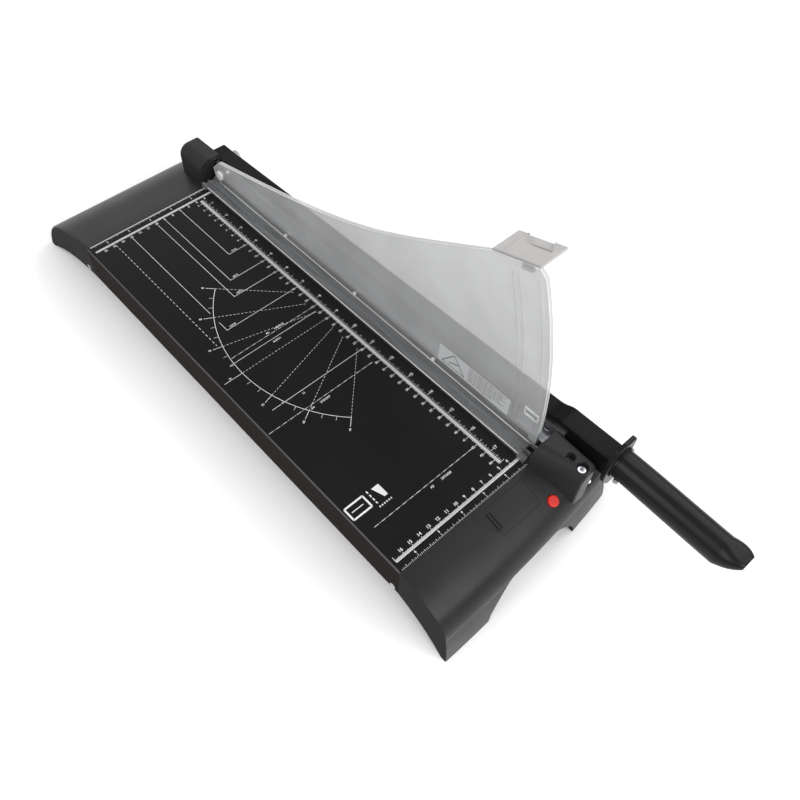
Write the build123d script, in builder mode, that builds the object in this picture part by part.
from build123d import *
import math
import os

# Lever-arm paper trimmer for A3 sheets, with a clear guard over the cut.
# Frame: +Z up, +Y towards the pivot at the back, +X towards the blade arm, in millimetres.
# The origin is the centre of the overall box in plan, on the surface that the feet stand on.

# ---------------------------------------------------------------- driving dimensions
LENGTH = 750.0  # back foot to handle tip
WIDTH = 214.0  # left screw heads to right foot
BED_Z = 74.0  # cutting surface above the ground
BED_W = 173.5  # left side of the bed to the cut line
PLATE_L = 462.0  # bed plate along the cut
REAR_CAP_DEPTH = 120.0
SHEET = 1.5  # bed plate thickness
SKIRT = 38.0  # depth of the folded sides
WALL = 3.0  # moulded walls
HEAD = 1.0  # side screw heads stand this proud
FIT = 0.05  # radial running clearance
GAP = 0.3  # clearance between moving neighbours

X_LEFT = -WIDTH / 2 + HEAD
X_CUT = X_LEFT + BED_W
X_RIGHT = WIDTH / 2
Y_BACK = LENGTH / 2
Y_PLATE_BACK = Y_BACK - REAR_CAP_DEPTH
Y_PLATE_FRONT = Y_PLATE_BACK - PLATE_L
Y_ZERO = Y_PLATE_BACK - 1.0  # zero of the printed rules
CAP_FOOT = 0.6  # moulded feet end this far above the ground, on rubber pads

# The blades meet at the cut line.
BLADE_T = 4.0  # fixed blade
KNIFE_T = 2.5  # moving blade
X_FIXED = X_CUT - GAP - BLADE_T
ARM_LEFT = X_CUT + KNIFE_T
ARM_RIGHT = X_CUT + 21.0
CHANNEL_LEFT = X_CUT - 1.5  # moulded wall beside the moving blade
CHANNEL_FLOOR = -22.0  # relative to the bed

# Hinges: the arm turns on a bolt behind the ruler's zero, the guard on a pin ahead of it.
PIVOT_Y = Y_ZERO + 20.0
PIVOT_Z = BED_Z
PIVOT_R = 4.0
GUARD_PIN_Y = Y_ZERO - 7.4
GUARD_PIN_Z = BED_Z + 11.3
GUARD_PIN_R = 3.0
GUARD_REACH = 445.0  # guard pin to the front edge of the shield
SHIELD_T = 3.0
SHIELD_X = X_CUT - 12.0  # left face of the shield

os.makedirs("parts", exist_ok=True)


def along(distance):
    """Y of a point this far in front of the ruler's zero."""
    return Y_ZERO - distance


def above(height):
    """Z of a point this far above the bed."""
    return BED_Z + height


def side(points):
    """(distance in front of zero, height above the bed) pairs as points of a YZ sketch."""
    return [(along(d), above(h)) for d, h in points]


def save(piece, name):
    piece.part.label = name
    export_step(piece.part, "parts/" + name + ".step")


def cross_section(y):
    """Plane across the bed at this Y: local x is X, local y is Z, extruding towards the front."""
    return Plane.XZ.offset(-y)


def box_between(low, high, mode=Mode.ADD):
    """Axis-aligned block from its lowest to its highest corner."""
    centre = [(a + b) / 2 for a, b in zip(low, high)]
    size = [b - a for a, b in zip(low, high)]
    with Locations(tuple(centre)):
        Box(*size, mode=mode)


def rod_x(x0, x1, y, z, radius, mode=Mode.ADD):
    """Cylinder along X from x0 to x1."""
    with Locations(Location(((x0 + x1) / 2, y, z), (0, 90, 0))):
        Cylinder(radius, abs(x1 - x0), mode=mode)


def rod_z(z0, z1, x, y, radius, mode=Mode.ADD):
    """Cylinder along Z from z0 to z1."""
    with Locations((x, y, (z0 + z1) / 2)):
        Cylinder(radius, abs(z1 - z0), mode=mode)


# ---------------------------------------------------------------- bed
BLADE_SCREWS = (25.0, 128.0, 231.0, 334.0, 437.0)
BLADE_SCREW_Z = above(-14.0)
SIDE_SCREW_R = 1.6
FRONT_SCREW_Y = along(455.6)
REAR_SCREW_Y = Y_ZERO + 11.4
SIDE_SCREW_Z = above(-32.0)
LIP = 10.0

with BuildPart() as bed_plate:
    with BuildSketch(cross_section(Y_PLATE_BACK)):
        with Locations(((X_LEFT + X_FIXED) / 2, above(-SKIRT / 2))):
            outer = Rectangle(X_FIXED - X_LEFT, SKIRT)
        fillet(outer.vertices().group_by(Axis.Y)[-1], 2.0)
        with Locations(((X_LEFT + X_FIXED) / 2, above(-SKIRT / 2))):
            Rectangle(X_FIXED - X_LEFT - 2 * SHEET, SKIRT - 2 * SHEET, mode=Mode.SUBTRACT)
        with Locations(((X_LEFT + X_FIXED) / 2, above(-SKIRT + SHEET / 2))):
            Rectangle(X_FIXED - X_LEFT - 2 * LIP, SHEET, mode=Mode.SUBTRACT)
    extrude(amount=PLATE_L)
    rod_x(X_LEFT - 1, X_LEFT + SHEET + 1, FRONT_SCREW_Y, SIDE_SCREW_Z, SIDE_SCREW_R, Mode.SUBTRACT)
    for distance in BLADE_SCREWS:
        rod_x(X_FIXED - SHEET - 1, X_FIXED + 1, along(distance), BLADE_SCREW_Z, 2.6, Mode.SUBTRACT)
save(bed_plate, "bed_plate")

# Stiffening channels under the sheet, open downwards.
RAIL_W = 24.0
RAIL_H = 16.0
RAIL_DISTANCES = (60.0, 175.0, 290.0, 405.0)
BAR_T = 8.0
BAR_H = 26.0

with BuildPart() as cross_rails:
    for distance in RAIL_DISTANCES:
        with BuildSketch(Plane.YZ.offset(X_LEFT + SHEET)):
            with Locations((along(distance), above(-SHEET - RAIL_H / 2))):
                Rectangle(RAIL_W, RAIL_H)
            with Locations((along(distance), above(-SHEET - RAIL_H / 2 - SHEET))):
                Rectangle(RAIL_W - 2 * SHEET, RAIL_H, mode=Mode.SUBTRACT)
        extrude(amount=X_FIXED - 2 * SHEET - BAR_T - X_LEFT)
save(cross_rails, "cross_rails")

# Steel bar behind the fixed blade.
with BuildPart() as blade_bar:
    box_between(
        (X_FIXED - SHEET - BAR_T, Y_PLATE_FRONT + 2, above(-SHEET - BAR_H)),
        (X_FIXED - SHEET, Y_PLATE_BACK - 2, above(-SHEET)),
    )
    for distance in BLADE_SCREWS:
        rod_x(X_FIXED - 15, X_FIXED, along(distance), BLADE_SCREW_Z, 2.5, Mode.SUBTRACT)
save(blade_bar, "blade_bar")

FIXED_H = 26.0
CONE_R = 5.0

with BuildPart() as fixed_blade:
    box_between(
        (X_FIXED, Y_PLATE_FRONT, above(-FIXED_H)), (X_FIXED + BLADE_T, Y_PLATE_BACK, above(0))
    )
    for distance in BLADE_SCREWS:
        with Locations(Location((X_FIXED + BLADE_T, along(distance), BLADE_SCREW_Z), (0, 90, 0))):
            CounterSinkHole(2.6, CONE_R, depth=BLADE_T)
save(fixed_blade, "fixed_blade")


def countersunk_screw(x_face, y, z, radius, length, towards):
    """Flush screw along X: its head cone sits at x_face, its shank runs the way of towards."""
    cone = CONE_R - radius
    with BuildSketch(Plane.XY.offset(z)) as half:
        with BuildLine():
            Polyline(
                (x_face, y),
                (x_face, y + CONE_R - FIT),
                (x_face + towards * cone, y + radius - FIT),
                (x_face + towards * length, y + radius - FIT),
                (x_face + towards * length, y),
                close=True,
            )
        make_face()
    revolve(half.sketch, axis=Axis((x_face, y, z), (1, 0, 0)))
    with BuildSketch(Plane.YZ.offset(x_face)) as socket:
        with Locations((y, z)):
            RegularPolygon(1.9, 6)
    extrude(socket.sketch, amount=1.6 * towards, mode=Mode.SUBTRACT)


with BuildPart() as fixed_blade_screws:
    for distance in BLADE_SCREWS:
        countersunk_screw(X_FIXED + BLADE_T, along(distance), BLADE_SCREW_Z, 2.5, 14.0, -1)
save(fixed_blade_screws, "fixed_blade_screws")


# ---------------------------------------------------------------- end caps
# The front wall of each cap bows back towards the blade side.
BOW_START = X_LEFT + 20.0
FRONT_BOW = 0.225


def bow(x, amount):
    """Depth of a cap at this X, as a share of its full depth."""
    reach = max(0.0, x - BOW_START) / (X_RIGHT - BOW_START)
    return 1.0 - amount * reach**2


def front_section(x, inset, low):
    """Side profile of the front cap at x, drawn inset from its outer skin."""
    k = bow(x, FRONT_BOW)
    start = 0.0 if inset == 0 else 1.0

    def at(depth, height):
        return (Y_PLATE_FRONT + start - k * depth, above(height))

    with BuildSketch(Plane.YZ.offset(x)) as section:
        with BuildLine():
            ThreePointArc(
                at(0, -inset), at(22 - 0.2 * inset, -4.6 - inset), at(39 - 0.6 * inset, -12.4 - inset)
            )
            ThreePointArc(
                at(39 - 0.6 * inset, -12.4 - inset),
                at(48.8 - inset, -21.5 - 0.7 * inset),
                at(53.5 - inset, -36),
            )
            ThreePointArc(at(53.5 - inset, -36), at(56.6 - inset, -55), at(58 - inset, low))
            Line(at(58 - inset, low), at(0, low))
            Line(at(0, low), at(0, -inset))
        make_face()
    return section.sketch


def front_arch(x):
    """Open underside of the front cap at x, seen from the side."""
    k = bow(x, FRONT_BOW)
    with BuildSketch(Plane.YZ.offset(x)) as section:
        with BuildLine():
            ThreePointArc(
                (Y_PLATE_FRONT, above(-SKIRT)),
                (Y_PLATE_FRONT - 30 * k, above(-53)),
                (Y_PLATE_FRONT - 54 * k, -1.0),
            )
            Polyline(
                (Y_PLATE_FRONT - 54 * k, -1.0),
                (Y_PLATE_FRONT + 1, -1.0),
                (Y_PLATE_FRONT + 1, above(-SKIRT)),
                (Y_PLATE_FRONT, above(-SKIRT)),
            )
        make_face()
    return section.sketch


FLOOR = CAP_FOOT - BED_Z
STATIONS = (X_LEFT, X_LEFT + 105.0, X_RIGHT)


def channel(margin):
    """Room beside the fixed blade for the moving blade and the arm, cut from a cap."""
    with BuildSketch(cross_section(Y_BACK + 5)) as room:
        with BuildLine():
            Polyline(
                (CHANNEL_LEFT - margin, above(60)),
                (CHANNEL_LEFT - margin, above(CHANNEL_FLOOR - margin)),
                (X_CUT + 26.0 - margin, above(CHANNEL_FLOOR - margin)),
                (X_RIGHT + 0.6 - margin, -1.0),
                (X_RIGHT + 30, -1.0),
                (X_RIGHT + 30, above(60)),
                close=True,
            )
        make_face()
    extrude(room.sketch, amount=LENGTH, mode=Mode.SUBTRACT)


with BuildPart() as front_hollow:
    loft([front_section(x, WALL, -BED_Z - 1) for x in (X_LEFT + WALL, X_LEFT + 105.0, X_RIGHT - 1.0)])
    channel(WALL)

with BuildPart() as front_underside:
    loft([front_arch(x) for x in (X_LEFT - 1, X_LEFT + 105.0, X_RIGHT + 1)])

with BuildPart() as front_body:
    loft([front_section(x, 0, FLOOR) for x in STATIONS])
    channel(0)


def rear_section(x, inset, low):
    """Side profile of the rear cap at x, drawn inset from its outer skin."""
    start = 0.0 if inset == 0 else -1.0

    def at(depth, height):
        return (Y_PLATE_BACK + start + depth, above(height))

    with BuildSketch(Plane.YZ.offset(x)) as section:
        with BuildLine():
            ThreePointArc(
                at(0, -inset), at(40 - 0.3 * inset, -7.4 - inset), at(76 - 0.5 * inset, -21.8 - inset)
            )
            ThreePointArc(
                at(76 - 0.5 * inset, -21.8 - inset),
                at(102 - 0.8 * inset, -42.6 - 0.7 * inset),
                at(120 - inset, low),
            )
            Line(at(120 - inset, low), at(0, low))
            Line(at(0, low), at(0, -inset))
        make_face()
    return section.sketch


with BuildPart() as rear_hollow:
    extrude(rear_section(X_LEFT + WALL, WALL, -BED_Z - 1), amount=X_RIGHT - X_LEFT - 2 * WALL)
    channel(WALL)

with BuildPart() as rear_underside:
    with BuildSketch(Plane.YZ.offset(X_LEFT - 1)):
        with BuildLine():
            ThreePointArc(
                (Y_PLATE_BACK, above(-SKIRT)), (Y_PLATE_BACK + 62, above(-50.5)), (Y_BACK - 6.5, -1.0)
            )
            Polyline(
                (Y_BACK - 6.5, -1.0),
                (Y_PLATE_BACK - 1, -1.0),
                (Y_PLATE_BACK - 1, above(-SKIRT)),
                (Y_PLATE_BACK, above(-SKIRT)),
            )
        make_face()
    extrude(amount=X_RIGHT - X_LEFT + 2)

with BuildPart() as rear_body:
    extrude(rear_section(X_LEFT, 0, FLOOR), amount=X_RIGHT - X_LEFT)
    left_edges = rear_body.faces().sort_by(Axis.X)[0].edges().filter_by(GeomType.CIRCLE)
    fillet(left_edges, 3.0)
    channel(0)


def wall_arch(y0, y1, height):
    """Arched opening through an end wall, between its two feet."""
    foot_left, top_left, top_right, foot_right = (X_CUT - 124, X_CUT - 96, X_CUT - 42, X_CUT - 9)
    with BuildSketch(cross_section(y1)) as opening:
        with BuildLine():
            Line((foot_left, -1.0), (foot_left + 1.5, 10.0))
            ThreePointArc(
                (foot_left + 1.5, 10.0),
                (foot_left + 0.55 * (top_left - foot_left), height - 10.0),
                (top_left, height),
            )
            Line((top_left, height), (top_right, height))
            ThreePointArc(
                (top_right, height),
                (top_right + 0.55 * (foot_right - top_right), height - 12.0),
                (foot_right, 4.0),
            )
            Polyline((foot_right, 4.0), (foot_right, -1.0), (foot_left, -1.0))
        make_face()
    extrude(opening.sketch, amount=y1 - y0, mode=Mode.SUBTRACT)


# Battery door, push button and the cover screws are placed from the cut line and the ruler's zero.
DOOR_LEFT = X_CUT - 88.0
DOOR_RIGHT = X_CUT - 44.0
DOOR_BACK = along(466.0)
DOOR_FRONT = along(490.0)
NOTCH_Y = along(477.0)
NOTCH_R = 8.0
DOOR_GAP = 0.2
SKIN_TILT = 15.0  # slope of the front cap's skin around the door
BUTTON_TILT = 25.0
BUTTON_R = 5.1
BUTTON_SEAT = Plane(
    origin=(X_CUT - 34.2, along(494.2), above(-11.0)),
    x_dir=(1, 0, 0),
    z_dir=(0, -math.sin(math.radians(BUTTON_TILT)), math.cos(math.radians(BUTTON_TILT))),
)
FOOT_PAD_L = 34.0
FOOT_PAD_W = 9.0
FOOT_PAD_T = 2.6
FRONT_PADS = ((X_LEFT + 24.0, Y_PLATE_FRONT - 46.5), (X_CUT + 14.0, Y_PLATE_FRONT - 36.0))
REAR_PADS = ((X_LEFT + 24.0, Y_BACK - 15.0), (X_CUT + 14.0, Y_BACK - 15.0))
PAD_BOSS_H = 40.0
SCREW_WELL = (X_CUT - 12.0, along(485.5))
SOCKET_WELL = (X_CUT - 11.5, along(497.5))
SCREW_R = 1.6
SOCKET_SHANK_R = 2.0
BLOCK_SCREW_LOW = above(-16.0)
POST_X = 11.0
SOCKET_SEAT = above(13.5)
SOCKET_HEAD_R = 3.9
SOCKET_HEAD_T = 5.0

# Thickened places under the skin that take screws and pads.
with BuildPart() as front_bosses:
    for x, y in FRONT_PADS:
        box_between(
            (x - FOOT_PAD_L / 2 - 2, y - 6, FOOT_PAD_T),
            (x + FOOT_PAD_L / 2 + 2, y + 6, PAD_BOSS_H),
        )
    with Locations(BUTTON_SEAT):
        with Locations((-POST_X, 0, -8.5), (POST_X, 0, -8.5)):
            Cylinder(2.2, 14)
    for x, y in (SCREW_WELL, SOCKET_WELL):
        rod_z(BLOCK_SCREW_LOW - 2, above(4), x, y, 4.5)

with BuildPart() as front_inside:
    add(front_hollow.part)
    add(front_bosses.part, mode=Mode.INTERSECT)

with BuildPart() as front_end_cap:
    add(front_body.part)
    add(front_hollow.part, mode=Mode.SUBTRACT)
    add(front_underside.part, mode=Mode.SUBTRACT)
    wall_arch(Y_PLATE_FRONT - 75, Y_PLATE_FRONT - 18, above(-33.5))
    add(front_inside.part)
    box_between(
        (X_LEFT + SHEET + GAP, Y_PLATE_FRONT - 14, above(-35.5)),
        (X_LEFT + 12, Y_PLATE_FRONT + 15, above(-26)),
    )
    rod_x(X_LEFT, X_LEFT + 13, FRONT_SCREW_Y, SIDE_SCREW_Z, SIDE_SCREW_R - 0.1, Mode.SUBTRACT)
    box_between(
        (DOOR_LEFT, DOOR_FRONT, above(-30)), (DOOR_RIGHT, DOOR_BACK, above(5)), mode=Mode.SUBTRACT
    )
    with Locations(Location((DOOR_LEFT, NOTCH_Y - 1.5, above(1.5)), (SKIN_TILT, 0, 0))):
        Cylinder(NOTCH_R, 12.0, mode=Mode.SUBTRACT)
    with Locations(BUTTON_SEAT):
        Cylinder(BUTTON_R + GAP, 16, mode=Mode.SUBTRACT)
    rod_z(BLOCK_SCREW_LOW, above(5), *SCREW_WELL, SCREW_R, Mode.SUBTRACT)
    rod_z(BLOCK_SCREW_LOW, above(5), *SOCKET_WELL, SOCKET_SHANK_R, Mode.SUBTRACT)
save(front_end_cap, "front_end_cap")

with BuildPart() as rear_bosses:
    for x, y in REAR_PADS:
        box_between(
            (x - FOOT_PAD_L / 2 - 2, y - 7, FOOT_PAD_T),
            (x + FOOT_PAD_L / 2 + 2, y + 7, PAD_BOSS_H),
        )

with BuildPart() as rear_inside:
    add(rear_hollow.part)
    add(rear_bosses.part, mode=Mode.INTERSECT)

BRACKET_T = 4.0
BOLT_HEAD_R = 7.5  # across corners
BOLT_HEAD_T = 5.0
BRACKET_RIGHT = CHANNEL_LEFT - WALL
BRACKET_LEFT = BRACKET_RIGHT - BRACKET_T

with BuildPart() as rear_end_cap:
    add(rear_body.part)
    add(rear_hollow.part, mode=Mode.SUBTRACT)
    add(rear_underside.part, mode=Mode.SUBTRACT)
    wall_arch(Y_PLATE_BACK + 60, Y_BACK + 5, above(-44))
    add(rear_inside.part)
    box_between(
        (X_LEFT + SHEET + GAP, Y_PLATE_BACK - 15, above(-35.5)),
        (X_LEFT + 12, Y_PLATE_BACK + 20, above(-26)),
    )
    rod_x(X_LEFT - 1, X_LEFT + 13, REAR_SCREW_Y, SIDE_SCREW_Z, SIDE_SCREW_R - 0.1, Mode.SUBTRACT)
    rod_x(BRACKET_LEFT, CHANNEL_LEFT + 1, PIVOT_Y, PIVOT_Z, PIVOT_R + 0.5, Mode.SUBTRACT)
    box_between(
        (BRACKET_LEFT - GAP, Y_PLATE_BACK - 1, above(-14)),
        (BRACKET_RIGHT, Y_PLATE_BACK + 38, above(5)),
        mode=Mode.SUBTRACT,
    )
    box_between(
        (BRACKET_LEFT - BOLT_HEAD_T - 1, PIVOT_Y - BOLT_HEAD_R, above(-14)),
        (BRACKET_LEFT, PIVOT_Y + BOLT_HEAD_R, above(5)),
        mode=Mode.SUBTRACT,
    )
save(rear_end_cap, "rear_end_cap")


# ---------------------------------------------------------------- covers over the blade's ends
def cover_section(y, left, top, radius, low):
    """Section of an end cover: upright sides with a round shoulder away from the blade."""
    bend = (left + radius, above(top - radius))
    half = radius * math.sqrt(0.5)
    with BuildSketch(cross_section(y)) as section:
        with BuildLine():
            Line((left, above(low)), (left, above(top) - radius))
            ThreePointArc(
                (left, above(top) - radius), (bend[0] - half, bend[1] + half), (left + radius, above(top))
            )
            Polyline(
                (left + radius, above(top)),
                (CHANNEL_LEFT, above(top)),
                (CHANNEL_LEFT, above(low)),
                (left, above(low)),
            )
        make_face()
    return section.sketch


FRONT_BLOCK_BACK = along(462.0)
FRONT_BLOCK_FRONT = along(505.0)
HOUSING_FRONT = Y_ZERO + 7.0
HOUSING_BACK = Y_ZERO + 52.0
COVER_LOW = -45.0

with BuildPart() as front_core:
    loft(
        [
            cover_section(FRONT_BLOCK_BACK - WALL, X_CUT - 32.5 + WALL, 22.0, 10.0, COVER_LOW),
            cover_section(FRONT_BLOCK_FRONT + WALL, X_CUT - 18.5 + WALL, 19.0, 7.0, COVER_LOW),
        ]
    )
    with Locations((CHANNEL_LEFT, Y_PLATE_FRONT, BED_Z)):
        Box(2 * WALL, 200, 200, mode=Mode.SUBTRACT)

with BuildPart() as front_wells:
    rod_z(above(-10), above(23), *SCREW_WELL, 6.5)
    with Locations((SOCKET_WELL[0], SOCKET_WELL[1], above(6.5))):
        Box(18, 16, 33)

with BuildPart() as front_wells_inside:
    add(front_core.part)
    add(front_wells.part, mode=Mode.INTERSECT)

with BuildPart() as front_block:
    loft(
        [
            cover_section(FRONT_BLOCK_BACK, X_CUT - 32.5, 25.0, 13.0, COVER_LOW),
            cover_section(FRONT_BLOCK_FRONT, X_CUT - 18.5, 22.0, 10.0, COVER_LOW),
        ]
    )
    corner = front_block.edges().filter_by(Axis.Z).group_by(Axis.Y)[0].sort_by(Axis.X)[-1]
    fillet(corner, 5.0)
    brow = front_block.faces().sort_by(Axis.Z)[-1].edges().sort_by(Axis.Y)[0]
    fillet(brow, 2.5)
    add(front_core.part, mode=Mode.SUBTRACT)
    add(front_wells_inside.part)
    rod_z(above(14), above(40), *SCREW_WELL, 4.1, Mode.SUBTRACT)
    rod_z(above(-40), above(40), *SCREW_WELL, SCREW_R, Mode.SUBTRACT)
    rod_z(SOCKET_SEAT, above(40), *SOCKET_WELL, SOCKET_HEAD_R + 1.0, Mode.SUBTRACT)
    rod_z(above(-40), above(40), *SOCKET_WELL, SOCKET_SHANK_R, Mode.SUBTRACT)
    add(front_body.part, mode=Mode.SUBTRACT)
    with Locations(((X_CUT - 6.5), FRONT_BLOCK_BACK, above(9.0))):
        Box(5.0, 8.0, 5.0, mode=Mode.SUBTRACT)
save(front_block, "front_block")

with BuildPart() as housing_core:
    loft(
        [
            cover_section(HOUSING_BACK - WALL, X_CUT - 26.0 + WALL, 21.0, 9.0, COVER_LOW),
            cover_section(HOUSING_FRONT + WALL, X_CUT - 28.5 + WALL, 22.0, 12.0, COVER_LOW),
        ]
    )
    with Locations((CHANNEL_LEFT, Y_PLATE_BACK, BED_Z)):
        Box(2 * WALL, 200, 200, mode=Mode.SUBTRACT)

with BuildPart() as pivot_housing:
    loft(
        [
            cover_section(HOUSING_BACK, X_CUT - 26.0, 24.0, 12.0, COVER_LOW),
            cover_section(HOUSING_FRONT, X_CUT - 28.5, 25.0, 15.0, COVER_LOW),
        ]
    )
    back_edges = pivot_housing.faces().sort_by(Axis.Y)[-1].edges().sort_by(Axis.Z)[1:]
    fillet(back_edges, 6.0)
    add(housing_core.part, mode=Mode.SUBTRACT)
    add(rear_body.part, mode=Mode.SUBTRACT)
    box_between(
        (X_LEFT, Y_PLATE_BACK - 300, -1), (CHANNEL_LEFT + 1, Y_PLATE_BACK, above(0)), mode=Mode.SUBTRACT
    )
    box_between(
        (BRACKET_LEFT - GAP, HOUSING_FRONT - 5, above(-6)),
        (BRACKET_RIGHT, HOUSING_FRONT + 6, above(21)),
        mode=Mode.SUBTRACT,
    )
    rod_x(BRACKET_RIGHT - 1, CHANNEL_LEFT + 1, PIVOT_Y, PIVOT_Z, PIVOT_R + 0.5, Mode.SUBTRACT)
save(pivot_housing, "pivot_housing")

# Steel bracket that carries the arm's bolt and, on a lug, the guard's pin.
LUG_R = 8.0
with BuildPart() as pivot_bracket:
    with BuildSketch(Plane.YZ.offset(BRACKET_LEFT)):
        with BuildLine():
            Polyline(
                (GUARD_PIN_Y, GUARD_PIN_Z + LUG_R),
                (PIVOT_Y + 8, GUARD_PIN_Z + LUG_R),
                (PIVOT_Y + 14, PIVOT_Z),
                (PIVOT_Y + 14, above(-34)),
                (HOUSING_FRONT + 1, above(-34)),
                (HOUSING_FRONT + 1, GUARD_PIN_Z - LUG_R),
                (GUARD_PIN_Y, GUARD_PIN_Z - LUG_R),
            )
            ThreePointArc(
                (GUARD_PIN_Y, GUARD_PIN_Z - LUG_R),
                (GUARD_PIN_Y - LUG_R, GUARD_PIN_Z),
                (GUARD_PIN_Y, GUARD_PIN_Z + LUG_R),
            )
        make_face()
    extrude(amount=BRACKET_T)
    box_between(
        (BRACKET_LEFT - 16, HOUSING_FRONT + 1, above(-34)), (BRACKET_LEFT, PIVOT_Y + 14, above(-31))
    )
    rod_x(BRACKET_LEFT - 1, BRACKET_RIGHT + 1, PIVOT_Y, PIVOT_Z, PIVOT_R, Mode.SUBTRACT)
    rod_x(BRACKET_LEFT - 1, BRACKET_RIGHT + 1, GUARD_PIN_Y, GUARD_PIN_Z, GUARD_PIN_R - FIT, Mode.SUBTRACT)
save(pivot_bracket, "pivot_bracket")

# ---------------------------------------------------------------- blade arm
KNIFE_START = -8.0
KNIFE_END = 468.0
KNIFE_SCREWS = (20.0, 128.0, 236.0, 344.0, 452.0)
KNIFE_SCREW_R = 2.0
BUSH_R = 6.0


def knife_screw_z(distance):
    """Height of a blade screw: it follows the arm's slope."""
    return above(3.0 + 13.0 * distance / KNIFE_END)


ARM_H = 23.5
HANDLE_START = 510.0
TANG_END = 572.0
TANG_LOW = above(18.5)
TANG_HIGH = above(29.5)
ARM_TOP = ((-20.0, 12.0), (445.0, 27.3), (463.0, 32.0), (HANDLE_START, 32.0))
TAIL_END = -36.0
TAIL_R = 5.0


def arm_outline(drop, rise, extra):
    """Side outline of the arm, lowered at the top by drop and at the bottom by rise."""
    (d0, z0), (d1, z1), (d2, z2), (d3, z3) = ARM_TOP
    low = ARM_H + rise
    with BuildLine() as line:
        Polyline(*side([(d0, z0 - drop), (d1, z1 - drop)]))
        Bezier(*side([(d1, z1 - drop), (d1 + 9, z1 - drop), (d2 - 9, z2 - drop), (d2, z2 - drop)]))
        Polyline(
            *side([(d2, z2 - drop), (d3 + extra, z3 - drop), (d3 + extra, z3 - low), (d2, z3 - low)]),
        )
        Bezier(*side([(d2, z2 - low), (d2 - 9, z2 - low), (d1 + 9, z1 - low), (d1, z1 - low)]))
        Polyline(*side([(d1, z1 - low), (d0 + 30, z0 - 23.5 - rise), (d0, -z0 - rise)]))
        if drop == 0:
            tail = side([(d0, -z0), (TAIL_END, -z0), (TAIL_END, z0), (d0, z0)])
            FilletPolyline(*tail, radius=TAIL_R)
        else:
            Polyline(*side([(d0, -z0 - rise), (d0, z0 - drop)]))
    return line


with BuildPart() as blade_arm:
    with BuildSketch(Plane.YZ.offset(ARM_LEFT)):
        add(arm_outline(0, 0, 0).line)
        make_face()
    extrude(amount=ARM_RIGHT - ARM_LEFT)
    top_edges = blade_arm.faces().filter_by(Axis.X).sort_by(Axis.X)
    fillet(top_edges[0].edges().filter_by(lambda e: e.center().Z > above(4)), 1.6)
    with BuildSketch(Plane.YZ.offset(ARM_LEFT + WALL)):
        add(arm_outline(WALL, 8, 0).line)
        make_face()
    extrude(amount=ARM_RIGHT - ARM_LEFT - 2 * WALL, mode=Mode.SUBTRACT)
    rod_x(ARM_LEFT, ARM_RIGHT, PIVOT_Y, PIVOT_Z, 11.9)
    box_between(
        (ARM_LEFT + WALL, along(TANG_END), TANG_LOW),
        (ARM_RIGHT - WALL, along(HANDLE_START - 30), TANG_HIGH),
    )
    rod_x(ARM_LEFT - 1, ARM_RIGHT + 1, PIVOT_Y, PIVOT_Z, BUSH_R, Mode.SUBTRACT)
    for distance in KNIFE_SCREWS:
        height = knife_screw_z(distance)
        rod_x(ARM_LEFT - 1, ARM_LEFT + WALL + 1, along(distance), height, KNIFE_SCREW_R, Mode.SUBTRACT)
save(blade_arm, "blade_arm")

# Moving blade on the arm's inner face: its edge bows down so that it shears as the arm falls.
with BuildPart() as moving_blade:
    with BuildSketch(Plane.YZ.offset(X_CUT)):
        with BuildLine():
            Polyline(*side([(KNIFE_START, -5.0), (KNIFE_START, 9.0), (455.0, 22.0), (KNIFE_END, 22.0)]))
            Line(*side([(KNIFE_END, 22.0), (KNIFE_END, -13.0)]))
            ThreePointArc(*side([(KNIFE_END, -13.0), (230.0, -11.5), (KNIFE_START, -5.0)]))
        make_face()
    extrude(amount=KNIFE_T)
    edge = moving_blade.edges().filter_by(GeomType.CIRCLE).sort_by(Axis.X)[-1]
    chamfer(edge, 1.6)
    for distance in KNIFE_SCREWS:
        with Locations(Location((X_CUT, along(distance), knife_screw_z(distance)), (0, -90, 0))):
            CounterSinkHole(KNIFE_SCREW_R + 0.1, CONE_R - 1.0, depth=KNIFE_T)
save(moving_blade, "moving_blade")

with BuildPart() as moving_blade_screws:
    for distance in KNIFE_SCREWS:
        height = knife_screw_z(distance)
        with Locations(Location((X_CUT + 1.3, along(distance), height), (0, 90, 0))):
            Cone(CONE_R - 1.6, KNIFE_SCREW_R - FIT, 1.8)
        rod_x(X_CUT + 2.1, ARM_LEFT + WALL, along(distance), height, KNIFE_SCREW_R)
        rod_x(ARM_LEFT + WALL, ARM_LEFT + WALL + 3.2, along(distance), height, 3.6)
save(moving_blade_screws, "moving_blade_screws")

# Pivot stack along X: bolt head, bracket, spacer, bush in the arm, spring washer, lock nut.
SPACER_R = 7.0
NUT_H = 6.5
WASHER_T = 1.2

with BuildPart() as pivot_bush:
    rod_x(ARM_LEFT, ARM_RIGHT, PIVOT_Y, PIVOT_Z, BUSH_R)
    rod_x(ARM_LEFT - 1, ARM_RIGHT + 1, PIVOT_Y, PIVOT_Z, PIVOT_R + FIT, Mode.SUBTRACT)
save(pivot_bush, "pivot_bush")

with BuildPart() as pivot_spacer:
    rod_x(CHANNEL_LEFT, ARM_LEFT - GAP, PIVOT_Y, PIVOT_Z, SPACER_R)
    rod_x(CHANNEL_LEFT - 1, ARM_LEFT, PIVOT_Y, PIVOT_Z, PIVOT_R, Mode.SUBTRACT)
save(pivot_spacer, "pivot_spacer")

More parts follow.
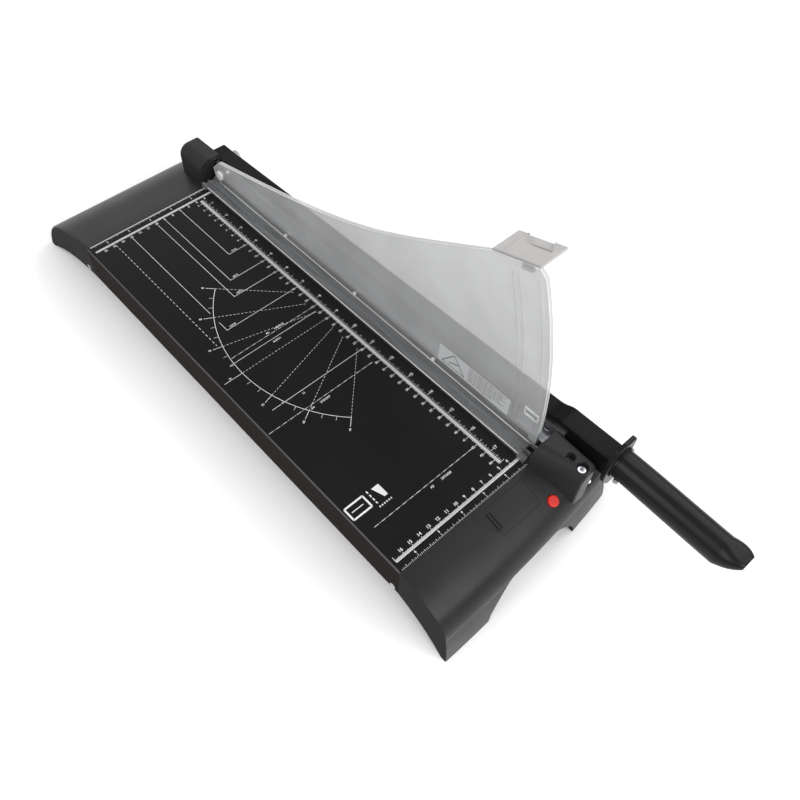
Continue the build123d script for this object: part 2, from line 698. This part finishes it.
NUT_X = ARM_RIGHT + GAP + WASHER_T
with BuildPart() as pivot_bolt:
    with BuildSketch(Plane.YZ.offset(BRACKET_LEFT)):
        with Locations((PIVOT_Y, PIVOT_Z)):
            RegularPolygon(BOLT_HEAD_R - GAP, 6)
    extrude(amount=-BOLT_HEAD_T)
    rod_x(BRACKET_LEFT, NUT_X + NUT_H + 1.5, PIVOT_Y, PIVOT_Z, PIVOT_R)
    tip = pivot_bolt.edges().filter_by(GeomType.CIRCLE).sort_by(Axis.X)[-1]
    chamfer(tip, 0.8)
save(pivot_bolt, "pivot_bolt")

with BuildPart() as spring_washer:
    rod_x(ARM_RIGHT + GAP, NUT_X, PIVOT_Y, PIVOT_Z, 7.5)
    rod_x(ARM_RIGHT, NUT_X + 1, PIVOT_Y, PIVOT_Z, PIVOT_R, Mode.SUBTRACT)
save(spring_washer, "spring_washer")

with BuildPart() as lock_nut:
    with BuildSketch(Plane.YZ.offset(NUT_X)):
        with Locations((PIVOT_Y, PIVOT_Z)):
            RegularPolygon(7.5, 6)
            Circle(PIVOT_R, mode=Mode.SUBTRACT)
    extrude(amount=NUT_H)
    nut_rim = lock_nut.faces().sort_by(Axis.X)[-1].outer_wire().edges()
    chamfer(nut_rim, 0.6)
save(lock_nut, "lock_nut")

# ---------------------------------------------------------------- handle
GRIP_X = X_CUT + 12.5
# Sections of the grip: distance, width, height, height of the centre, corner radius.
GRIP_STATIONS = (
    (516.0, 25.0, 23.0, 24.5, 10.5),
    (545.0, 26.0, 24.2, 22.7, 11.6),
    (578.0, 26.0, 25.0, 20.4, 12.0),
    (610.0, 26.0, 24.8, 18.4, 11.9),
)
GRIP_END = 629.0
TIP_SECTIONS = 5
TIP_FALL = 1.8  # drop of the grip's back over the slanted end
TIP_WIDTH = 0.55  # size left at the very end, as a share of the grip's
TIP_HEIGHT = 0.26
FLANGE_T = 4.0
COLLAR_T = 6.0  # flange and the ring in front of it


def grip_section(distance, width, height, centre, corner):
    with BuildSketch(cross_section(along(distance))) as section:
        with Locations((GRIP_X, above(centre))):
            RectangleRounded(width, height, corner)
    return section.sketch


def tip_section(reach):
    """Section of the slanted end, this share of the way to the tip: the underside is cut away."""
    start, full_width, full_height, full_centre, _ = GRIP_STATIONS[-1]
    back = full_centre + full_height / 2 - TIP_FALL * reach**2
    width = full_width * (1 - (1 - TIP_WIDTH) * reach**3)
    height = full_height * (1 - (1 - TIP_HEIGHT) * reach)
    distance = start + (GRIP_END - start) * reach
    return grip_section(distance, width, height, back - height / 2, 0.48 * height)


with BuildPart() as grip_body:
    loft([grip_section(*station) for station in GRIP_STATIONS])
    loft([tip_section(step / TIP_SECTIONS) for step in range(TIP_SECTIONS + 1)])
    box_between(
        (ARM_LEFT + WALL, along(TANG_END), TANG_LOW),
        (ARM_RIGHT - WALL, along(HANDLE_START), TANG_HIGH),
        mode=Mode.SUBTRACT,
    )

# The two shells part on a line that climbs towards the tip.
PARTING = Plane(
    origin=(GRIP_X, along(516.0), above(18.0)), x_dir=(1, 0, 0), z_dir=(0, 0.105, 1.0)
)
HANDLE_SCREW_Y = along(521.0)
HANDLE_SCREW_Z = above(15.4)
HANDLE_SCREW_R = 1.6
HANDLE_HEAD_R = 2.4
HANDLE_HEAD_X = X_CUT + 0.9  # outer face of the screw's head
HANDLE_SEAT_X = HANDLE_HEAD_X + 2.0

with BuildPart() as handle_upper:
    add(grip_body.part)
    split(bisect_by=PARTING, keep=Keep.TOP)
save(handle_upper, "handle_upper")

with BuildPart() as handle_lower:
    add(grip_body.part)
    split(bisect_by=PARTING, keep=Keep.BOTTOM)
    rod_x(
        HANDLE_HEAD_X, HANDLE_HEAD_X + 16, HANDLE_SCREW_Y, HANDLE_SCREW_Z, HANDLE_SCREW_R, Mode.SUBTRACT
    )
    rod_x(
        X_CUT - 5, HANDLE_SEAT_X, HANDLE_SCREW_Y, HANDLE_SCREW_Z, HANDLE_HEAD_R + FIT, Mode.SUBTRACT
    )
save(handle_lower, "handle_lower")

with BuildPart() as handle_screw:
    rod_x(HANDLE_HEAD_X, HANDLE_SEAT_X, HANDLE_SCREW_Y, HANDLE_SCREW_Z, HANDLE_HEAD_R)
    rod_x(HANDLE_SEAT_X, HANDLE_HEAD_X + 16, HANDLE_SCREW_Y, HANDLE_SCREW_Z, HANDLE_SCREW_R)
save(handle_screw, "handle_screw")

# The flange hangs like a shield: square at the top right, one long curve down its left side.
FLANGE_RIGHT = X_CUT + 27.0
FLANGE_TOP = above(46.5)
FLANGE_LEFT = ((5.0, 44.5), (-3.5, 20.0), (9.0, -6.0))
FLANGE_FOOT = ((18.0, -6.0), (27.0, 8.0))


def on_flange(x, z):
    return (X_CUT + x, above(z))


with BuildPart() as hand_guard:
    with BuildSketch(cross_section(along(HANDLE_START))):
        with BuildLine():
            curve = ThreePointArc(*[on_flange(x, z) for x, z in FLANGE_LEFT])
            Polyline(
                curve @ 1,
                *[on_flange(x, z) for x, z in FLANGE_FOOT],
                (FLANGE_RIGHT, FLANGE_TOP),
                (FLANGE_RIGHT - 14.0, FLANGE_TOP),
                curve @ 0,
            )
        flange = make_face()
        fillet(flange.vertices().sort_by(Axis.X)[-2:], 5.0)
    extrude(amount=FLANGE_T)
    fillet(hand_guard.faces().sort_by(Axis.Y)[0].edges(), 1.2)
    with BuildSketch(cross_section(along(HANDLE_START + FLANGE_T))):
        with Locations((GRIP_X, above(24.5))):
            RectangleRounded(28.0, 26.0, 11.5)
    extrude(amount=COLLAR_T - FLANGE_T)
    box_between(
        (ARM_LEFT + WALL, along(HANDLE_START + COLLAR_T + 1), TANG_LOW),
        (ARM_RIGHT - WALL, along(HANDLE_START - 1), TANG_HIGH),
        mode=Mode.SUBTRACT,
    )
save(hand_guard, "hand_guard")

# ---------------------------------------------------------------- clear guard
STRIP_LEFT = X_CUT - 30.0
STRIP_Z = 1.0
STRIP_T = 2.2
STRIP_BACK = -2.0
STRIP_FRONT = 450.0
GUARD_RIVETS = (121.0, 227.0, 333.5)
RIVET_Z = above(STRIP_Z + 4.4)
RIVET_R = 1.5
RIVET_HEAD_R = 2.0
SHIELD_RIGHT = SHIELD_X + SHIELD_T
RIB_RADII = (414.0, 420.0, 438.0)
RIB_W = 1.6
NOSE_ANGLE = 21.3
TAB_START = (374.0, 165.0)  # distance and height of the shield's flat top, under the tab
TAB_FINISH = (415.5, 177.8)
TAB_SLOPE = math.degrees(math.atan2(TAB_FINISH[1] - TAB_START[1], TAB_FINISH[0] - TAB_START[0]))


def reach_point(angle):
    """Point of the shield's front edge, this many degrees up about the guard's pin."""
    turn = math.radians(angle)
    return (GUARD_PIN_Y - GUARD_REACH * math.cos(turn), GUARD_PIN_Z + GUARD_REACH * math.sin(turn))


def shield_outline():
    """Side outline of the shield: it rises like a sail, and its front edge turns about the pin."""
    foot_angle = math.degrees(math.asin((above(STRIP_Z) - GUARD_PIN_Z) / GUARD_REACH))
    nose, middle, foot = [reach_point(angle) for angle in (NOSE_ANGLE, NOSE_ANGLE / 2, foot_angle)]
    with BuildLine() as line:
        Spline(*side([(8.0, 27.5), (121.0, 55.4), (256.0, 101.5), (333.0, 142.0), TAB_START]))
        Polyline(*side([TAB_START, TAB_FINISH]), nose)
        ThreePointArc(nose, middle, foot)
        Polyline(foot, *side([(STRIP_BACK, STRIP_Z), (-4.5, 15.0), (8.0, 27.5)]))
    return line.line


with BuildPart() as guard_shield:
    with BuildSketch(Plane.YZ.offset(SHIELD_X)):
        add(shield_outline())
        make_face()
    extrude(amount=SHIELD_T)
    for radius in RIB_RADII:
        with BuildSketch(Plane.YZ.offset(SHIELD_X - 0.9)) as rib:
            with BuildLine():
                inner = CenterArc((GUARD_PIN_Y, GUARD_PIN_Z), radius, 159.0, 20.4)
                outer = CenterArc((GUARD_PIN_Y, GUARD_PIN_Z), radius + RIB_W, 159.0, 20.4)
                Line(inner @ 0, outer @ 0)
                Line(inner @ 1, outer @ 1)
            make_face()
        extrude(rib.sketch, amount=1.2)
    rod_x(SHIELD_X - 1, SHIELD_RIGHT + 1, GUARD_PIN_Y, GUARD_PIN_Z, GUARD_PIN_R + FIT, Mode.SUBTRACT)
    for distance in GUARD_RIVETS:
        rod_x(SHIELD_X - 1, SHIELD_RIGHT + 1, along(distance), RIVET_Z, RIVET_R, Mode.SUBTRACT)
save(guard_shield, "guard_shield")

# The clamp strip lies on the paper: a low flange, an upturned edge riveted to the shield, end tongues.
with BuildPart() as clamp_strip:
    box_between(
        (STRIP_LEFT, along(STRIP_FRONT), above(STRIP_Z)),
        (SHIELD_X, along(STRIP_BACK), above(STRIP_Z + STRIP_T)),
    )
    box_between(
        (SHIELD_X - 1.8, along(STRIP_FRONT - 6), above(STRIP_Z)),
        (SHIELD_X, along(STRIP_BACK + 14), above(STRIP_Z + 6.8)),
    )
    rod_x(SHIELD_X - 3, SHIELD_X + 1, GUARD_PIN_Y, GUARD_PIN_Z, 7.0, Mode.SUBTRACT)
    for x in (-23.0, -14.6):
        box_between(
            (X_CUT + x - 0.8, along(STRIP_FRONT + 7), above(STRIP_Z)),
            (X_CUT + x + 0.8, along(STRIP_FRONT - 2), above(STRIP_Z + 4.5)),
        )
        box_between(
            (X_CUT + x - 0.8, along(STRIP_BACK + 17), above(STRIP_Z)),
            (X_CUT + x + 0.8, along(STRIP_BACK), above(STRIP_Z + 4.5)),
        )
    box_between(
        (STRIP_LEFT - 2.5, along(STRIP_FRONT + 8), above(STRIP_Z)),
        (STRIP_LEFT + 2.5, along(STRIP_FRONT), above(STRIP_Z + 5.0)),
    )
    box_between(
        (STRIP_LEFT - 1.5, along(STRIP_BACK + 7), above(STRIP_Z)),
        (STRIP_LEFT + 1.5, along(STRIP_BACK), above(STRIP_Z + 5.0)),
    )
    for distance in GUARD_RIVETS:
        rod_x(SHIELD_X - 4, SHIELD_X + 1, along(distance), RIVET_Z, RIVET_R, Mode.SUBTRACT)
save(clamp_strip, "clamp_strip")

with BuildPart() as guard_rivets:
    for distance in GUARD_RIVETS:
        rod_x(SHIELD_X - 1.8, SHIELD_RIGHT, along(distance), RIVET_Z, RIVET_R)
        rod_x(SHIELD_X - 2.8, SHIELD_X - 1.8, along(distance), RIVET_Z, RIVET_HEAD_R)
        rod_x(SHIELD_RIGHT, SHIELD_RIGHT + 0.8, along(distance), RIVET_Z, RIVET_HEAD_R)
save(guard_rivets, "guard_rivets")

with BuildPart() as guard_pin:
    rod_x(SHIELD_X - GAP - 2.4, SHIELD_X - GAP, GUARD_PIN_Y, GUARD_PIN_Z, 5.5)
    crown = guard_pin.edges().filter_by(GeomType.CIRCLE).sort_by(Axis.X)[0]
    fillet(crown, 1.6)
    rod_x(SHIELD_X - GAP, BRACKET_LEFT, GUARD_PIN_Y, GUARD_PIN_Z, GUARD_PIN_R)
    rod_x(BRACKET_LEFT, BRACKET_RIGHT, GUARD_PIN_Y, GUARD_PIN_Z, GUARD_PIN_R - FIT)
save(guard_pin, "guard_pin")

# The tab on top of the shield is what the raised arm comes up against.
TAB_T = 2.2
TAB_PLANE = Plane(
    origin=(SHIELD_X, along(TAB_START[0]), above(TAB_START[1])),
    x_dir=(1, 0, 0),
    z_dir=(0, math.sin(math.radians(TAB_SLOPE)), math.cos(math.radians(TAB_SLOPE))),
)
TAB_W = 28.2
TAB_L = 43.5
RECESS_FLOOR = 1.0
RECESS_RIM = 1.0
RECESS_LEFT = 18.5
CLIP_R = 1.5
CLIP_L = 10.0


def tab_recess(grow):
    """Finger recess of the tab, open to its right edge, grown by a rim."""
    with BuildSketch(TAB_PLANE) as recess:
        with BuildLine():
            Polyline(
                (TAB_W, -10.0 + grow),
                (RECESS_LEFT - grow, -20.5 + grow),
                (RECESS_LEFT - grow, -38.0 - grow),
                (TAB_W, -33.0 - grow),
                close=True,
            )
        make_face()
    return recess.sketch


with BuildPart() as arm_stop_tab:
    with BuildSketch(TAB_PLANE):
        with Locations((TAB_W / 2, -TAB_L / 2)):
            Rectangle(TAB_W, TAB_L)
    extrude(amount=TAB_T)
    extrude(tab_recess(RECESS_RIM), amount=TAB_T + 0.8)
    extrude(tab_recess(0), amount=TAB_T + 2, mode=Mode.SUBTRACT)
    extrude(tab_recess(RECESS_RIM / 2), amount=RECESS_FLOOR)
    with BuildSketch(TAB_PLANE.offset(TAB_T)):
        with Locations((TAB_W / 2, -9.0)):
            Rectangle(TAB_W, 0.8)
    extrude(amount=0.4)
    with Locations(TAB_PLANE.location):
        with Locations(Location((-CLIP_R, -34.0, -2.0), (90, 0, 0))):
            Cylinder(CLIP_R, CLIP_L)
        with Locations((-0.8, -34.0, 0.1)):
            Box(1.8, CLIP_L, 2.6)
    add(guard_shield.part, mode=Mode.SUBTRACT)
save(arm_stop_tab, "arm_stop_tab")

# ---------------------------------------------------------------- cut-line light in the front cap
# Stack under the button's seat: flange, spring, switch, board.
FLANGE_LOW = -7.8
SWITCH_TOP = -11.9
SWITCH_H = 3.8
WIRE_R = 0.35
COIL_H = FLANGE_LOW - SWITCH_TOP - 4 * WIRE_R

with BuildPart() as push_button:
    with Locations(BUTTON_SEAT):
        with Locations((0, 0, -2.0)):
            Cylinder(BUTTON_R, 9.0)
        with Locations((0, 0, FLANGE_LOW + 0.7)):
            Cylinder(BUTTON_R + 1.3, 1.4)
        with Locations((0, 0, FLANGE_LOW - 0.7)):
            Cylinder(1.6, 1.4)
    crown = push_button.edges().filter_by(GeomType.CIRCLE).sort_by(Axis.Z)[-1]
    fillet(crown, 1.2)
save(push_button, "push_button")

with BuildPart() as button_spring:
    foot = BUTTON_SEAT.offset(SWITCH_TOP + 2 * WIRE_R)
    with BuildLine() as coil:
        Helix(pitch=1.0, height=COIL_H, radius=3.6, center=foot.origin, direction=foot.z_dir)
    with BuildSketch(Plane(origin=coil.line @ 0, z_dir=coil.line % 0)) as wire:
        Circle(WIRE_R)
    sweep(wire.sketch, path=coil.line)
save(button_spring, "button_spring")

with BuildPart() as light_switch:
    with Locations(BUTTON_SEAT):
        with Locations((0, 0, SWITCH_TOP - SWITCH_H / 2)):
            Box(8, 8, SWITCH_H)
        with Locations((0, 0, SWITCH_TOP + 0.3)):
            Cylinder(1.8, 0.6)
save(light_switch, "light_switch")

with BuildPart() as switch_board:
    with Locations(BUTTON_SEAT):
        with Locations((0, 0, SWITCH_TOP - SWITCH_H - 0.8)):
            Box(2 * POST_X + 5, 11, 1.6)
save(switch_board, "switch_board")

TRAY_LEFT = DOOR_LEFT - 3.0
TRAY_RIGHT = DOOR_RIGHT - 5.0
TRAY_WALL = 1.5
TRAY_LOW = above(-32.0)
CELL_R = 5.9
CELL_L = 29.0
CELL_NUB = 1.0
CONTACT_T = 0.5
CELL_ROWS = (along(471.8), along(484.2))
CELL_LEFT = DOOR_RIGHT - 5.0 - TRAY_WALL - CONTACT_T - CELL_NUB - CELL_L

with BuildPart() as battery_door:
    add(front_body.part)
    add(front_hollow.part, mode=Mode.SUBTRACT)
    box_between(
        (DOOR_LEFT + DOOR_GAP, DOOR_FRONT + DOOR_GAP, above(-30)),
        (DOOR_RIGHT - DOOR_GAP, DOOR_BACK - DOOR_GAP, above(5)),
        mode=Mode.INTERSECT,
    )
    with Locations(Location((DOOR_LEFT + 2.2, NOTCH_Y - 1.5, above(0)), (SKIN_TILT, 0, 0))):
        Box(2.6, 2 * NOTCH_R, 9.0, mode=Mode.SUBTRACT)
save(battery_door, "battery_door")

# The tray hangs from the skin around the door.
with BuildPart() as battery_tray:
    box_between((TRAY_LEFT, DOOR_FRONT - 2, TRAY_LOW), (TRAY_RIGHT, DOOR_BACK + 2, above(1)))
    add(front_hollow.part, mode=Mode.INTERSECT)
    box_between(
        (TRAY_LEFT + TRAY_WALL, DOOR_FRONT - 2 + TRAY_WALL, TRAY_LOW + TRAY_WALL),
        (TRAY_RIGHT - TRAY_WALL, DOOR_BACK + 2 - TRAY_WALL, above(2)),
        mode=Mode.SUBTRACT,
    )
    box_between(
        (TRAY_RIGHT - TRAY_WALL - 1, DOOR_FRONT - 3, above(-16)),
        (TRAY_RIGHT + 1, DOOR_BACK + 3, above(2)),
        mode=Mode.SUBTRACT,
    )
save(battery_tray, "battery_tray")

CELL_Z = TRAY_LOW + TRAY_WALL + CELL_R
with BuildPart() as battery_cells:
    for y in CELL_ROWS:
        rod_x(CELL_LEFT, CELL_LEFT + CELL_L, y, CELL_Z, CELL_R)
        rod_x(CELL_LEFT + CELL_L, CELL_LEFT + CELL_L + CELL_NUB, y, CELL_Z, 2.2)
save(battery_cells, "battery_cells")

with BuildPart() as battery_contacts:
    for x in (CELL_LEFT - CONTACT_T, CELL_LEFT + CELL_L + CELL_NUB):
        for y in CELL_ROWS:
            box_between((x, y - 4.2, TRAY_LOW + TRAY_WALL), (x + CONTACT_T, y + 4.2, CELL_Z + 4.2))
save(battery_contacts, "battery_contacts")

# The line light looks back along the cut through a window in the front block.
LIGHT_L = 12.0
with BuildPart() as line_light:
    light_y = FRONT_BLOCK_BACK - WALL - LIGHT_L / 2
    with Locations(Location((X_CUT - 8.0, light_y, above(9.0)), (90, 0, 0))):
        Cylinder(3.4, LIGHT_L)
save(line_light, "line_light")

# ---------------------------------------------------------------- fasteners, pads and the arm rest
with BuildPart() as side_screws:
    for y in (FRONT_SCREW_Y, REAR_SCREW_Y):
        rod_x(X_LEFT - HEAD, X_LEFT, y, SIDE_SCREW_Z, 3.0)
        rod_x(X_LEFT, X_LEFT + 10, y, SIDE_SCREW_Z, SIDE_SCREW_R - 0.1)
        with Locations((X_LEFT - HEAD, y, SIDE_SCREW_Z)):
            Box(0.8, 4.0, 0.8, mode=Mode.SUBTRACT)
            Box(0.8, 0.8, 4.0, mode=Mode.SUBTRACT)
save(side_screws, "side_screws")

with BuildPart() as block_screws:
    rod_z(SOCKET_SEAT, SOCKET_SEAT + SOCKET_HEAD_T, *SOCKET_WELL, SOCKET_HEAD_R)
    rim = block_screws.edges().filter_by(GeomType.CIRCLE).sort_by(Axis.Z)[-1]
    fillet(rim, 0.6)
    with BuildSketch(Plane.XY.offset(SOCKET_SEAT + SOCKET_HEAD_T)):
        with Locations(SOCKET_WELL):
            RegularPolygon(2.3, 6)
    extrude(amount=-2.8, mode=Mode.SUBTRACT)
    rod_z(BLOCK_SCREW_LOW, SOCKET_SEAT, *SOCKET_WELL, SOCKET_SHANK_R)
    rod_z(above(14.0), above(16.5), *SCREW_WELL, 3.4)
    rod_z(BLOCK_SCREW_LOW, above(14.0), *SCREW_WELL, SCREW_R)
save(block_screws, "block_screws")

with BuildPart() as foot_pads:
    for x, y in FRONT_PADS + REAR_PADS:
        box_between(
            (x - FOOT_PAD_L / 2, y - FOOT_PAD_W / 2, 0.0),
            (x + FOOT_PAD_L / 2, y + FOOT_PAD_W / 2, FOOT_PAD_T),
        )
save(foot_pads, "foot_pads")

REST_Y = along(478.0)
with BuildPart() as arm_rest:
    rod_z(above(CHANNEL_FLOOR), above(CHANNEL_FLOOR + 22.0), X_CUT + 13.0, REST_Y, 5.0)
save(arm_rest, "arm_rest")

with BuildPart() as shelf_screws:
    for distance in (489.0, 499.0):
        rod_z(above(CHANNEL_FLOOR), above(CHANNEL_FLOOR + 1.6), X_CUT + 8.0, along(distance), 2.6)
save(shelf_screws, "shelf_screws")
